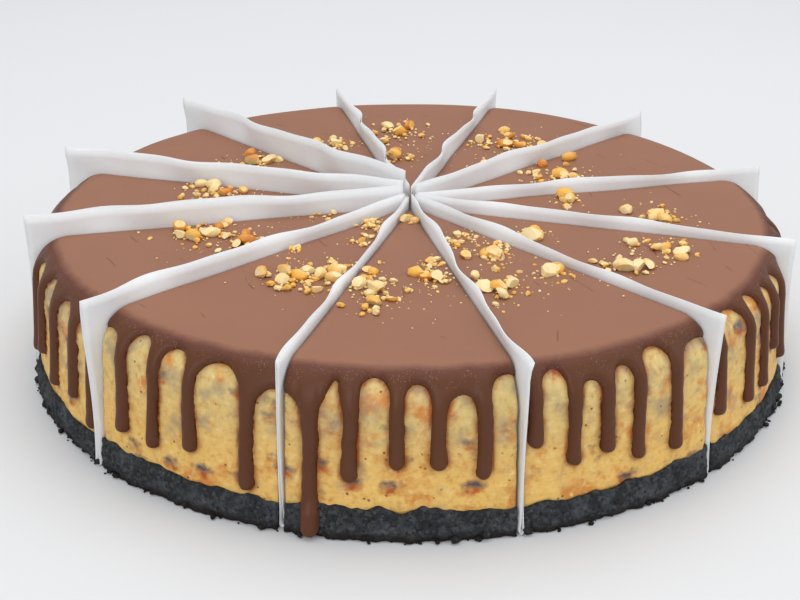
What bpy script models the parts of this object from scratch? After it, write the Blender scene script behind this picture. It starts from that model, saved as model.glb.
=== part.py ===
"""A round baked cheesecake, cut into twelve portions, with a folded paper between each two.

A portion has three layers: a dark biscuit base, the pale filling with its rounded shoulder, and
a chocolate coat that runs down the side in drips and carries chopped nuts. Lengths here are in
millimetres, and turn into metres when a mesh is finished. The cake stands on z = 0 round the
z axis, and angles are in degrees from +X.
"""

import math
import random

import bmesh
import bpy
from mathutils import Matrix, Vector

MM = 0.001

# The cuts
PORTIONS = 12
PORTION_ANGLE = 360 / PORTIONS
COLUMNS = 10
HALF_KERF = 1.0
TIP_RADIUS = 4.3
GAP = 0.3

# The biscuit base
BASE_RADIUS = 118.3
BASE_TOP_RADIUS = 117.0
BASE_HEIGHT = 8.2
BASE_UNEVENNESS = 0.6
BASE_CRUMBLE = 0.9
BASE_FOOT_HEIGHT = 1.6
BASE_SEED = 100

# The filling, whose shoulder is a quarter of an ellipse
FILLING_FOOT_RADIUS = 116.2
FILLING_RADIUS = 114.3
SHOULDER_RADIUS = 104.2
SHOULDER_HEIGHT = 34.5
FILLING_TOP = 43.4
SHOULDER_STEPS = 4

# The chocolate coat
COAT_TOP = 45.5
COAT_RADIUS = 115.4
DRIP_BULGE = 1.3
EDGE_THINNING = 0.35
COAT_COLUMN = 4.8
FOOT_FLARE_TOP = 12.0
FOOT_DRIP_INSIDE = BASE_RADIUS + GAP
FOOT_DRIP_THICKNESS = 1.2
DRIP_HALF_WIDTH = 2.1
LONG_DRIP_SHARE = 1.1
DRIP_BACK_SHARE = 0.75
ARCH_LIFT = 2.4
ARCH_ROUNDNESS = 0.8
TALLEST_ARCH = 7.0
ARC_STEPS = 5

# Drips that show from the front: angle, height of the tip, height of the arch after it
FRONT_DRIPS = (
    (-163.0, 10.0, 41.0),
    (-156.0, 15.5, 41.5),
    (-149.0, 12.0, 40.5),
    (-142.0, 14.5, 40.0),
    (-136.9, 9.6, 41.5),
    (-130.0, 14.0, 43.0),
    (-124.0, 13.5, 42.6),
    (-118.0, 16.5, 42.2),
    (-109.6, 9.7, 39.2),
    (-101.2, 0.4, 42.8),
    (-96.2, 16.0, 43.0),
    (-90.4, 20.0, 42.0),
    (-85.2, 19.8, 39.7),
    (-79.6, 17.0, 43.2),
    (-73.2, 24.0, 43.0),
    (-67.9, 17.3, 39.7),
    (-63.1, 18.5, 41.0),
    (-58.2, 14.5, 42.9),
    (-51.9, 13.0, 41.5),
    (-42.7, 16.5, 43.2),
    (-34.8, 13.5, 43.2),
    (-29.5, 13.5, 42.0),
    (-24.8, 21.0, 42.0),
    (-19.0, 13.0, 41.0),
)
HIDDEN_DRIPS = 34
HIDDEN_SHIFT = 0.18
HIDDEN_TIPS = (10.0, 23.0)
HIDDEN_ARCHES = (39.5, 43.0)
DRIP_SEED = 5

# Chopped nuts: angle and radius of each handful, pieces in it, and how far they spread
NUT_HANDFULS = (
    (-90.0, 13.5, 1, 0.1),
    (-97.0, 66.0, 9, 7.0),
    (-82.0, 57.0, 3, 4.0),
    (-117.0, 64.0, 7, 7.0),
    (-110.0, 56.0, 3, 5.0),
    (-155.0, 64.0, 7, 7.0),
    (-145.0, 57.0, 3, 4.0),
    (-68.5, 68.0, 5, 6.0),
    (-53.0, 66.0, 3, 4.0),
    (-59.0, 48.0, 4, 4.0),
    (-24.5, 81.0, 5, 5.0),
    (-38.5, 77.0, 3, 5.0),
    (-36.0, 45.0, 2, 4.0),
    (-6.0, 76.0, 4, 5.0),
    (5.0, 50.0, 2, 3.0),
    (29.0, 56.0, 7, 7.0),
    (61.0, 66.0, 8, 8.0),
    (56.0, 44.0, 2, 3.0),
    (94.0, 70.0, 5, 7.0),
    (98.0, 44.0, 3, 4.0),
    (116.0, 62.0, 4, 4.0),
    (128.0, 50.0, 2, 5.0),
    (146.0, 64.0, 5, 6.0),
    (157.0, 48.0, 4, 5.0),
    (172.0, 63.0, 6, 6.0),
    (184.0, 50.0, 2, 5.0),
)
LARGEST_NUT = 6.0
SMALLEST_NUT = 3.0
HUB_NUT = 4.4
LARGEST_HANDFUL = 9
NUT_SEED = 11
NUT_VARIETY = (0.85, 1.1)
NUT_FROM_CUT = 0.62
NUT_LUMPS = (0.86, 1.12)
NUT_WIDTHS = (0.62, 0.8)
NUT_HEIGHTS = (0.5, 0.62)
NUT_SINK = 0.28
NUT_SPACING = 0.52
MOST_NUTS = 8

# The papers
PAPER_THICKNESS = 0.3
PAPER_HALF_WIDTH = 0.7
PAPER_START = 3.5
PAPER_FOOT = 0.2
PAPER_FOLD = 0.7
# Each paper, counted from the cut at 15 degrees: outer end, height there, height at the middle
PAPERS = (
    (119.0, 48.9, 49.6),
    (116.6, 51.0, 52.0),
    (116.8, 50.0, 51.4),
    (116.4, 50.4, 51.6),
    (118.6, 53.6, 56.0),
    (119.2, 52.6, 53.0),
    (117.0, 52.6, 52.2),
    (118.4, 50.4, 49.6),
    (116.4, 47.8, 49.0),
    (118.0, 49.2, 49.8),
    (117.0, 47.6, 49.6),
    (117.4, 47.8, 49.8),
)
SHORT_LEAF = 0.6


def clear_scene():
    for old in list(bpy.data.objects):
        bpy.data.objects.remove(old)


def make_material(name, colour, roughness):
    material = bpy.data.materials.new(name)
    material.use_nodes = True
    shader = material.node_tree.nodes["Principled BSDF"]
    shader.inputs["Base Color"].default_value = (*colour, 1.0)
    shader.inputs["Roughness"].default_value = roughness
    shader.inputs["Metallic"].default_value = 0.0
    return material


def make_object(name, bm, material):
    """Turns millimetres into metres, and the mesh into a named object."""
    bmesh.ops.scale(bm, vec=(MM, MM, MM), verts=bm.verts)
    bmesh.ops.recalc_face_normals(bm, faces=bm.faces)
    mesh = bpy.data.meshes.new(name)
    bm.to_mesh(mesh)
    bm.free()
    mesh.materials.append(material)
    made = bpy.data.objects.new(name, mesh)
    bpy.context.scene.collection.objects.link(made)
    return made


def half_portion(radius):
    """Half of a portion's angle at this radius, in radians: the kerf takes more of it near the middle."""
    return math.radians(PORTION_ANGLE / 2) - math.asin(HALF_KERF / radius)


def round_the_cake(share, radius, height, centre):
    """A point of a portion. share runs from -1 at its right cut to 1 at its left cut."""
    angle = math.radians(centre) + share * half_portion(radius)
    return Vector((radius * math.cos(angle), radius * math.sin(angle), height))


def base_top(share, radius, centre):
    """The height of the base's uneven top, flat in the middle and waving towards the side."""
    angle = math.radians(centre + share * PORTION_ANGLE / 2)
    wave = (math.sin(11 * angle) + math.sin(29 * angle + 1.0) + 0.6 * math.sin(53 * angle)) / 2.6
    return BASE_HEIGHT + BASE_UNEVENNESS * wave * radius / BASE_TOP_RADIUS


def swept(outline, stations):
    """A solid with this outline, as (y, z) pairs, at each of the stations along x."""
    bm = bmesh.new()
    first = face = bm.faces.new([bm.verts.new((stations[0], y, z)) for y, z in outline])
    for before, after in zip(stations, stations[1:]):
        made = bmesh.ops.extrude_face_region(bm, geom=[face])["geom"]
        moved = [v for v in made if isinstance(v, bmesh.types.BMVert)]
        bmesh.ops.translate(bm, vec=(after - before, 0, 0), verts=moved)
        if face is not first:
            bmesh.ops.delete(bm, geom=[face], context="FACES_ONLY")
        face = next(f for f in made if isinstance(f, bmesh.types.BMFace))
    return bm


def swept_portion(outline):
    """A solid block: outline holds (radius, height) pairs, and the block's x runs from -1 to 1."""
    return swept(outline, [2 * i / COLUMNS - 1 for i in range(COLUMNS + 1)])


def shoulder(outer_radius, top):
    """(radius, height) pairs up the rounded shoulder, from the side to the top."""
    for step in range(SHOULDER_STEPS + 1):
        turn = math.radians(90 * step / SHOULDER_STEPS)
        yield (
            SHOULDER_RADIUS + (outer_radius - SHOULDER_RADIUS) * math.cos(turn),
            SHOULDER_HEIGHT + (top - SHOULDER_HEIGHT) * math.sin(turn),
        )


def make_base(index, centre, material):
    """The pressed biscuit layer, with an uneven top edge and a crumbled foot."""
    draw = random.Random(BASE_SEED + index)
    outline = [
        (TIP_RADIUS, 0.0),
        (BASE_RADIUS - BASE_CRUMBLE, 0.0),
        (BASE_RADIUS, BASE_FOOT_HEIGHT),
        (BASE_TOP_RADIUS, BASE_HEIGHT),
        (TIP_RADIUS, BASE_HEIGHT),
    ]
    bm = swept_portion(outline)
    for vert in bm.verts:
        share, radius, height = vert.co
        if height > BASE_HEIGHT / 2:
            height = base_top(share, radius, centre)
        elif radius > BASE_RADIUS / 2 and abs(share) > 0.5 / COLUMNS:
            radius -= draw.uniform(0, BASE_CRUMBLE)
        vert.co = round_the_cake(share, radius, height, centre)
    return make_object(f"base_{index:02d}", bm, material)


def make_filling(index, centre, material):
    """The baked filling, down to the base's uneven top."""
    outline = [(TIP_RADIUS, BASE_HEIGHT), (FILLING_FOOT_RADIUS, BASE_HEIGHT)]
    outline += list(shoulder(FILLING_RADIUS, FILLING_TOP))
    outline.append((TIP_RADIUS, FILLING_TOP))
    bm = swept_portion(outline)
    for vert in bm.verts:
        share, radius, height = vert.co
        if height < SHOULDER_HEIGHT / 2:
            height = base_top(share, radius, centre) + GAP
        vert.co = round_the_cake(share, radius, height, centre)
    return make_object(f"filling_{index:02d}", bm, material)


def ring_of_drips():
    """Every drip as (angle, tip height, height of the arch after it), in turn round the cake."""
    draw = random.Random(DRIP_SEED)
    drips = list(FRONT_DRIPS)
    start = FRONT_DRIPS[-1][0]
    room = 360 + FRONT_DRIPS[0][0] - start
    for i in range(1, HIDDEN_DRIPS + 1):
        angle = start + room * (i + draw.uniform(-HIDDEN_SHIFT, HIDDEN_SHIFT)) / (HIDDEN_DRIPS + 1)
        drips.append((angle, draw.uniform(*HIDDEN_TIPS), draw.uniform(*HIDDEN_ARCHES)))
    return drips


COAT_SHOULDER = COAT_TOP - SHOULDER_HEIGHT
SHOULDER_LENGTH = math.pi / 2 * COAT_SHOULDER
COAT_HALF_LENGTH = COAT_RADIUS * half_portion(COAT_RADIUS)


def down_the_coat(height):
    """How far down the coat a height is, in mm from where the shoulder starts."""
    if height >= SHOULDER_HEIGHT:
        return COAT_SHOULDER * math.acos((height - SHOULDER_HEIGHT) / COAT_SHOULDER)
    return SHOULDER_LENGTH + SHOULDER_HEIGHT - height


def arch_top(arch):
    """An arch is seen where it meets the filling, so the coat's own edge reaches a little farther up."""
    share = (arch - SHOULDER_HEIGHT) / COAT_SHOULDER
    return down_the_coat(arch) - ARCH_LIFT * share**2


def half_width(tip):
    """A drip that runs to the foot carries more chocolate."""
    return DRIP_HALF_WIDTH * (LONG_DRIP_SHARE if tip < FOOT_FLARE_TOP / 2 else 1.0)


def near_drips(centre):
    """The drips on a portion and one to each side, as (x along the side in mm, tip, arch after it)."""
    found = []
    for angle, tip, arch in ring_of_drips():
        off = (angle - centre + 180) % 360 - 180
        if abs(off) < PORTION_ANGLE * 0.85:
            found.append((COAT_RADIUS * math.radians(off), tip, arch))
    return sorted(found)


def lower_edge(drips):
    """The coat's lower edge, left to right in the flat: round tips, and an arch between each two."""
    points = []
    for (x, tip, arch), following in zip(drips, [*drips[1:], None]):
        width = half_width(tip)
        tip_y = down_the_coat(tip)
        for step in range(ARC_STEPS + 1):
            turn = math.pi * step / ARC_STEPS
            points.append((x - width * math.cos(turn), tip_y - width * (1 - math.sin(turn))))
        if following is None:
            break
        left, right = x + width, following[0] - half_width(following[1])
        top = arch_top(arch)
        rise = min(ARCH_ROUNDNESS * (right - left), TALLEST_ARCH)
        for step in range(ARC_STEPS + 1):
            turn = math.pi * step / ARC_STEPS
            across = (left + right) / 2 - (right - left) / 2 * math.cos(turn)
            points.append((across, top + rise * (1 - math.sin(turn))))
    return points


def cut_flat(bm, point, normal, clear=False, from_y=None):
    """Splits the sheet along a line, all of it or just its faces past from_y."""
    faces = [f for f in bm.faces if from_y is None or f.calc_center_median().y > from_y]
    edges = {e for f in faces for e in f.edges}
    verts = {v for f in faces for v in f.verts}
    bmesh.ops.bisect_plane(
        bm,
        geom=[*verts, *edges, *faces],
        plane_co=point,
        plane_no=normal,
        clear_outer=clear,
    )


def flat_coat(drips):
    """The coat of one portion as a flat sheet: x along the side, y down from the start of the shoulder."""
    tip = TIP_RADIUS - SHOULDER_RADIUS
    edge = lower_edge(drips)
    bm = bmesh.new()
    outline = [(edge[-1][0], tip), (edge[0][0], tip), *edge]
    bm.faces.new([bm.verts.new((x, y, 0)) for x, y in outline])
    for side in (1, -1):
        cut_flat(bm, (side * COAT_HALF_LENGTH, 0, 0), (side, 0, 0), clear=True)
    for step in range(SHOULDER_STEPS + 1):
        cut_flat(bm, (0, SHOULDER_LENGTH * step / SHOULDER_STEPS, 0), (0, 1, 0))
    for x, tip, _ in drips:
        for side in (-0.5, 0.5):
            cut_flat(bm, (x + side * half_width(tip), 0, 0), (1, 0, 0), from_y=0)
    for (x, _, _), (following, _, _) in zip(drips, drips[1:]):
        if following - x > 2 * COAT_COLUMN:
            cut_flat(bm, ((x + following) / 2, 0, 0), (1, 0, 0), from_y=0)
    if any(tip < BASE_HEIGHT for _, tip, _ in drips):
        cut_flat(bm, (0, down_the_coat(FOOT_FLARE_TOP), 0), (0, 1, 0))
    bmesh.ops.triangulate(bm, faces=bm.faces)
    return bm


def coat_point(x, y, outside, centre, bulge, over_base):
    """Where a point of the flat sheet lies on the cake, on the coat's inner or outer face."""
    share = x / COAT_HALF_LENGTH
    inner_radius, inner_top = FILLING_RADIUS + GAP, FILLING_TOP + GAP
    radius_of_face = COAT_RADIUS if outside else inner_radius
    top_of_face = COAT_TOP if outside else inner_top
    if y <= 0:
        return round_the_cake(share, SHOULDER_RADIUS + y, top_of_face, centre)
    if y < SHOULDER_LENGTH:
        turn = math.pi / 2 * (1 - y / SHOULDER_LENGTH)
        height = SHOULDER_HEIGHT + (top_of_face - SHOULDER_HEIGHT) * math.sin(turn)
        radius = SHOULDER_RADIUS + (radius_of_face - SHOULDER_RADIUS) * math.cos(turn)
        radius += bulge * math.cos(turn) * outside
        return round_the_cake(share, radius, height, centre)
    height = SHOULDER_HEIGHT + SHOULDER_LENGTH - y
    slope = (FILLING_FOOT_RADIUS - FILLING_RADIUS) / (SHOULDER_HEIGHT - BASE_HEIGHT)
    radius = radius_of_face + slope * (SHOULDER_HEIGHT - height) + bulge * outside
    if over_base:
        radius = FOOT_DRIP_INSIDE + FOOT_DRIP_THICKNESS * outside
    return round_the_cake(share, radius, height, centre)


def make_coat(index, centre, material):
    """The chocolate: a slab over the top and shoulder, and drips with round backs."""
    drips = near_drips(centre)
    bm = flat_coat(drips)
    rim = {v for e in bm.edges if e.is_boundary for v in e.verts}
    inner = list(bm.verts)
    made = bmesh.ops.extrude_face_region(bm, geom=list(bm.faces), use_keep_orig=True)["geom"]
    outer = [v for v in made if isinstance(v, bmesh.types.BMVert)]
    thin = {tuple(v.co) for v in rim if v.co.y > down_the_coat(FILLING_TOP)}
    for verts, outside in ((inner, False), (outer, True)):
        for vert in verts:
            x, y, _ = vert.co
            at_cut = abs(abs(x) - COAT_HALF_LENGTH) < 0.01
            is_thin = tuple(vert.co) in thin and not at_cut
            bulge = -EDGE_THINNING if is_thin else DRIP_BULGE * drip_share(x, y, drips)
            over_base = y > down_the_coat(FOOT_FLARE_TOP) + 0.01 and on_long_drip(x, drips)
            vert.co = coat_point(x, y, outside, centre, bulge, over_base)
    return make_object(f"coat_{index:02d}", bm, material)


def on_long_drip(x, drips):
    return any(abs(x - at) < half_width(tip) * 1.1 and tip < BASE_HEIGHT for at, tip, _ in drips)


def drip_share(x, y, drips):
    """1 on a drip's back below the arches, 0 between drips and on top."""
    if y < SHOULDER_LENGTH / 2:
        return 0.0
    return max((1.0 for at, tip, _ in drips if abs(x - at) < half_width(tip) * DRIP_BACK_SHARE), default=0.0)


def nut_places(centre):
    """(x, y, size, draw) of each nut of a portion, the largest first, all clear of the cuts."""
    places = []
    for order, (angle, radius, count, spread) in enumerate(NUT_HANDFULS):
        if abs((angle - centre + 180) % 360 - 180) > PORTION_ANGLE / 2:
            continue
        draw = random.Random(NUT_SEED + order)
        for i in range(count):
            size = LARGEST_NUT - (LARGEST_NUT - SMALLEST_NUT) * (i / (LARGEST_HANDFUL - 1)) ** 0.7
            size *= draw.uniform(*NUT_VARIETY)
            if count == 1:
                size = HUB_NUT
            along = radius + draw.gauss(0, spread) * (i > 0)
            off = math.radians((angle - centre + 180) % 360 - 180)
            across = radius * math.sin(off) + draw.gauss(0, spread) * (i > 0)
            room = along * math.tan(math.radians(PORTION_ANGLE / 2))
            room -= size * NUT_FROM_CUT + HALF_KERF / math.cos(math.radians(PORTION_ANGLE / 2))
            across = max(-room, min(room, across))
            turn = math.radians(centre)
            x = along * math.cos(turn) - across * math.sin(turn)
            y = along * math.sin(turn) + across * math.cos(turn)
            places.append((x, y, size, draw.randrange(10**6)))
    places.sort(key=lambda place: -place[2])
    return places


def add_nut(collection, x, y, size, seed):
    """One chopped piece, sunk a little into the chocolate."""
    draw = random.Random(seed)
    bm = bmesh.new()
    bmesh.ops.create_icosphere(bm, subdivisions=1, radius=0.5)
    for vert in bm.verts:
        vert.co *= draw.uniform(*NUT_LUMPS)
    width, height = draw.uniform(*NUT_WIDTHS), draw.uniform(*NUT_HEIGHTS)
    bmesh.ops.scale(bm, vec=(size, size * width, size * height), verts=bm.verts)
    bmesh.ops.rotate(bm, matrix=Matrix.Rotation(draw.uniform(0, math.tau), 3, "Z"), verts=bm.verts)
    lift = COAT_TOP + size * height * (0.5 - NUT_SINK)
    bmesh.ops.translate(bm, vec=(x, y, lift), verts=bm.verts)
    bmesh.ops.scale(bm, vec=(MM, MM, MM), verts=bm.verts)
    mesh = bpy.data.meshes.new("nut")
    bm.to_mesh(mesh)
    bm.free()
    collection.objects.link(bpy.data.objects.new("nut", mesh))


def fuse_nuts(coat, centre):
    """Joins the portion's largest nuts to its coat by one Boolean union, none touching another."""
    handful = bpy.data.collections.new("nuts")
    bpy.context.scene.collection.children.link(handful)
    added = []
    for x, y, size, seed in nut_places(centre):
        if all(math.dist((x, y), (a, b)) > NUT_SPACING * (size + other) for a, b, other in added):
            add_nut(handful, x, y, size, seed)
            added.append((x, y, size))
        if len(added) == MOST_NUTS:
            break
    union = coat.modifiers.new("nuts", "BOOLEAN")
    union.operation = "UNION"
    union.solver = "EXACT"
    union.operand_type = "COLLECTION"
    union.collection = handful
    bpy.context.view_layer.update()
    graph = bpy.context.evaluated_depsgraph_get()
    joined = bpy.data.meshes.new_from_object(coat.evaluated_get(graph))
    coat.modifiers.clear()
    coat.data = joined
    for nut in list(handful.objects):
        bpy.data.objects.remove(nut)
    bpy.data.collections.remove(handful)


def paper_section(tall, short):
    """The folded paper across the cut, as (offset, height) pairs: two leaves and a round fold."""
    outer, inner = PAPER_HALF_WIDTH, PAPER_HALF_WIDTH - PAPER_THICKNESS
    foot = PAPER_FOOT + PAPER_THICKNESS
    return [
        (-outer, tall),
        (-outer, PAPER_FOOT + PAPER_FOLD),
        (0.0, PAPER_FOOT),
        (outer, PAPER_FOOT + PAPER_FOLD),
        (outer, short),
        (inner, short),
        (inner, foot + PAPER_FOLD),
        (0.0, foot),
        (-inner, foot + PAPER_FOLD),
        (-inner, tall),
    ]


def make_paper(index, angle, material):
    """One divider, standing in its cut with its fold down and its leaves above the coat."""
    end, end_height, middle_height = PAPERS[index]
    outline = paper_section(middle_height, middle_height - SHORT_LEAF)
    bm = swept(outline, [PAPER_START, end])
    for vert in bm.verts:
        if vert.co.x > PAPER_START and vert.co.z > COAT_TOP:
            vert.co.z += end_height - middle_height
    bmesh.ops.rotate(bm, matrix=Matrix.Rotation(math.radians(angle), 3, "Z"), verts=bm.verts)
    return make_object(f"paper_{index:02d}", bm, material)


def main():
    clear_scene()
    biscuit = make_material("biscuit", (0.020, 0.022, 0.026), 0.85)
    filling = make_material("filling", (0.80, 0.55, 0.21), 0.55)
    chocolate = make_material("chocolate", (0.16, 0.068, 0.045), 0.40)
    paper = make_material("paper", (0.82, 0.82, 0.84), 0.60)
    for index in range(PORTIONS):
        centre = index * PORTION_ANGLE
        make_base(index, centre, biscuit)
        make_filling(index, centre, filling)
        coat = make_coat(index, centre, chocolate)
        fuse_nuts(coat, centre)
        make_paper(index, centre + PORTION_ANGLE / 2, paper)


main()
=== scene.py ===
# %% [markdown]
# # A cheesecake with a chocolate drip coat
# This notebook dresses the CAD model of a cheesecake. The real cake was baked in a ring, coated
# with chocolate that ran down its side, sprinkled with chopped peanuts, and then cut by machine
# into twelve portions with a folded paper pushed into each cut. The CAD model gives the frame, in
# metres, and every piece below is laid on it. Sizes are written in millimetres.

# %% Load the frame
import math
import random

import bmesh
import bpy
import numpy as np
from mathutils import Matrix, Vector, noise


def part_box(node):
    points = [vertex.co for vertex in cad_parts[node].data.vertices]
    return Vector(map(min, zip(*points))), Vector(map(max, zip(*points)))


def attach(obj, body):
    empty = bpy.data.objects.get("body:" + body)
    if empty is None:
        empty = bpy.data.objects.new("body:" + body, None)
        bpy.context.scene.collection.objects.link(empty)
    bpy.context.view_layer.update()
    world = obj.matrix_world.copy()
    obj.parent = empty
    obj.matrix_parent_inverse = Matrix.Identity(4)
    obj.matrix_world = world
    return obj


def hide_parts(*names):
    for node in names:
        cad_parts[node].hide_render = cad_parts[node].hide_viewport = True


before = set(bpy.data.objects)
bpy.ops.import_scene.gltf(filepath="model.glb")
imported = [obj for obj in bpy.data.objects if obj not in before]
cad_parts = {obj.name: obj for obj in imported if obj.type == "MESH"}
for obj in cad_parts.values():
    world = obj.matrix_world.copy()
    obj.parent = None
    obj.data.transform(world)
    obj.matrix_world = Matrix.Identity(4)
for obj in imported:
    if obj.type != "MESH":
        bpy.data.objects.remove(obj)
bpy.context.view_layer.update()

# %% [markdown]
# ## The camera
# In the view fitted to the photograph, the camera looks down on the cake from 46 cm off its middle,
# through a slightly long lens. It comes first, so that each later step can be looked at as soon as
# it runs. It is turned by one degree about the cake's middle, because the cuts are turned by that
# much in the picture.

# %% Place the camera
MM = 0.001
CUT_TURN = math.radians(1.0)
CAMERA_DISTANCE = 414.0
CAMERA_HEIGHT = 205.0
CAMERA_PITCH = 0.4352
CAMERA_YAW = -0.0073
CAMERA_ROLL = 0.0032
LENS = 63.74

eye = bpy.data.objects.new("eye", bpy.data.cameras.new("eye"))
bpy.context.scene.collection.objects.link(eye)
eye.data.lens = LENS
forward = Vector((
    math.sin(CAMERA_YAW) * math.cos(CAMERA_PITCH),
    math.cos(CAMERA_YAW) * math.cos(CAMERA_PITCH),
    -math.sin(CAMERA_PITCH),
))
level = Vector((math.cos(CAMERA_YAW), -math.sin(CAMERA_YAW), 0))
upward = level.cross(forward)
across = level * math.cos(CAMERA_ROLL) + upward * math.sin(CAMERA_ROLL)
upward = upward * math.cos(CAMERA_ROLL) - level * math.sin(CAMERA_ROLL)
turned = Matrix((across, upward, -forward)).transposed().to_4x4()
turned.translation = Vector((0, -CAMERA_DISTANCE, CAMERA_HEIGHT)) * MM
eye.matrix_world = Matrix.Rotation(CUT_TURN, 4, "Z") @ turned
eye.data.clip_start = 0.01
bpy.context.scene.camera = eye
print("camera at", [round(v, 3) for v in eye.matrix_world.translation])

# %% [markdown]
# ## The plan of a portion
# Each portion is a wedge between two cuts. A cut takes the same width everywhere, so a wedge's
# angle grows a little from the middle out. Every food piece below is first shaped flat, on a grid
# whose x runs from one cut (-1) to the next (1), and is then rolled up into its wedge. That keeps
# the cut faces flat and lets one small function place all of them.

# %% The cake's sizes
PORTIONS = 12
HALF_ANGLE = math.radians(15)
HALF_KERF = 1.0
TIP_RADIUS = 4.3
BASE_RADIUS = 118.3
BASE_TOP_RADIUS = 117.0
BASE_HEIGHT = 8.2
BASE_UNEVENNESS = 0.6
FILLING_FOOT_RADIUS = 116.2
FILLING_RADIUS = 114.3
SHOULDER_RADIUS = 104.2
SHOULDER_HEIGHT = 34.5
FILLING_TOP = 43.4
COAT_TOP = 45.5
COAT_RADIUS = 115.4
SIDE_SLOPE = (FILLING_FOOT_RADIUS - FILLING_RADIUS) / (SHOULDER_HEIGHT - BASE_HEIGHT)


def roll_up(share, radius, height, centre, half_cut=HALF_KERF):
    """Points of a wedge as an array of x, y, z in mm, from their share, radius and height."""
    half = HALF_ANGLE - np.arcsin(half_cut / radius)
    angle = math.radians(centre) + share * half
    return np.stack([radius * np.cos(angle), radius * np.sin(angle), height], axis=1)


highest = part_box("filling_00")[1]
print("filling_00 reaches radius", round(highest.x / MM, 1), "mm and height", round(highest.z / MM, 1))

# %% [markdown]
# ## A block from one grid
# A wedge's section is a loop of (radius, height) points. The grid's rows follow that loop, so its
# last row meets its first. Merging doubles turns the sheet into a tube, and filling the two open
# ends closes it. Relief is added while the grid still knows its shares, before it is rolled up.

# %% Make a block, and finish a piece
def grid_block(rows, columns, shape):
    """A closed bmesh in mm. shape takes (share, row) arrays and returns the rolled-up points."""
    bm = bmesh.new()
    bmesh.ops.create_grid(bm, x_segments=columns, y_segments=rows, size=1)
    flat = np.array([v.co for v in bm.verts])
    share = np.clip(flat[:, 0], -1, 1)
    row = np.rint((flat[:, 1] + 1) / 2 * rows).astype(int) % rows
    for vert, point in zip(bm.verts, shape(share, row)):
        vert.co = point
    bmesh.ops.remove_doubles(bm, verts=bm.verts, dist=1e-4)
    bmesh.ops.holes_fill(bm, edges=[e for e in bm.edges if e.is_boundary], sides=0)
    bmesh.ops.recalc_face_normals(bm, faces=bm.faces)
    return bm


def finish_piece(name, bm, material):
    """Turns mm into metres and the bmesh into an object that rides on the cake."""
    bmesh.ops.scale(bm, vec=(MM, MM, MM), verts=bm.verts)
    mesh = bpy.data.meshes.new(name)
    bm.to_mesh(mesh)
    bm.free()
    mesh.shade_smooth()
    mesh.materials.append(material)
    piece = bpy.data.objects.new(name, mesh)
    bpy.context.scene.collection.objects.link(piece)
    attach(piece, "root")
    return piece


print("a wedge is", round(2 * math.degrees(HALF_ANGLE)), "degrees less a cut of", 2 * HALF_KERF, "mm")

# %% [markdown]
# ## Two kinds of unevenness
# Food is never flat. A sum of a few plane waves gives the slow rise and fall of a poured or baked
# surface, and Blender's own noise gives crumbs and grains. Both read the real position in mm, so
# their sizes can be measured on the cake.

# %% Waves and grains
def waves(points, wavelength, seed, count=7):
    """A smooth random field between about -1 and 1."""
    draw = np.random.default_rng(seed)
    total = np.zeros(len(points))
    for _ in range(count):
        direction = draw.normal(size=3)
        direction *= math.tau / (wavelength * draw.uniform(0.7, 1.4) * np.linalg.norm(direction))
        total += np.sin(points @ direction + draw.uniform(0, math.tau))
    return total / math.sqrt(count * 1.6)


def grains(points, size):
    """Noise between about -1 and 1, whose grains are about size mm across."""
    return np.array([noise.noise(Vector(point) / size) for point in points])


trial = waves(np.random.default_rng(1).uniform(-100, 100, (500, 3)), 9, 2)
print("waves run from", round(trial.min(), 2), "to", round(trial.max(), 2))

# %% [markdown]
# ## Colours and nodes
# Colours are written as the hex values that a paint chart or a picture gives, in sRGB. Shaders work
# in linear light, so one function converts them. Another adds a node, sets its values and links it.
# A third starts a material and hands back its coordinates in mm, so pattern sizes are real sizes.

# %% Helpers for materials
def linear(hex_colour):
    """An sRGB hex colour as a linear RGBA tuple."""
    channels = [int(hex_colour[i : i + 2], 16) / 255 for i in (1, 3, 5)]
    return (*[c / 12.92 if c <= 0.04045 else ((c + 0.055) / 1.055) ** 2.4 for c in channels], 1.0)


def add_node(tree, kind, links=None, values=None, **settings):
    """Adds a shader node, sets its properties and socket values, and links its inputs."""
    node = tree.nodes.new("ShaderNode" + kind)
    for key, value in settings.items():
        setattr(node, key, value)
    for key, value in (values or {}).items():
        node.inputs[key].default_value = value
    for key, source in (links or {}).items():
        tree.links.new(source, node.inputs[key])
    return node


def new_material(name, **sockets):
    """A material's node tree and Principled shader, and the place of a point in mm."""
    material = bpy.data.materials.new(name)
    material.use_nodes = True
    tree = material.node_tree
    shader = tree.nodes["Principled BSDF"]
    for key, value in sockets.items():
        shader.inputs[key.replace("_", " ")].default_value = value
    metres = add_node(tree, "TexCoord").outputs["Object"]
    place = add_node(tree, "VectorMath", {0: metres}, {"Scale": 1 / MM}, operation="SCALE")
    return material, tree, shader, place.outputs[0]


print("mid grey #808080 is", round(linear("#808080")[0], 3), "in linear light")

# %% [markdown]
# ## The chocolate's finish
# The coat is milk chocolate thinned with cream, poured warm and chilled until set. Seen from above
# it is painted lighter and paler than on its side: partly a dull, dusty bloom, and partly a painted
# sheen, the reflection of the soft light above. Where it ran over the rim it stayed dark and even.
# The change, where the painted sheen fades out, lies on the rounded rim, through a redder brown to a
# ragged line with fine light specks along it. The distance from the cake's axis tells top from side.
# Hairline scratches lie on the top. They are the folds of a ping-pong count across the cake, bent by
# a slow noise, of which a second noise keeps only short stretches.

# %% Chocolate
# The top's lighter colour, dusty bloom and painted sheen together, ends at the first radius below.
BLOOM_AND_SHEEN_ENDS = 107.0
RIM_AT = 109.5
SIDE_STARTS = 111.4
RAGGED = 2.6
SPECK_SPACING = 0.62
SPECKS_START = 109.6
SPECKS_FULL = 111.6
SPECKS_FADE = 112.2
SPECKS_END = 115.6
SCRATCH_ACROSS = (0.055, 0.030, 0)
SCRATCH_BEND = 2.4


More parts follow.
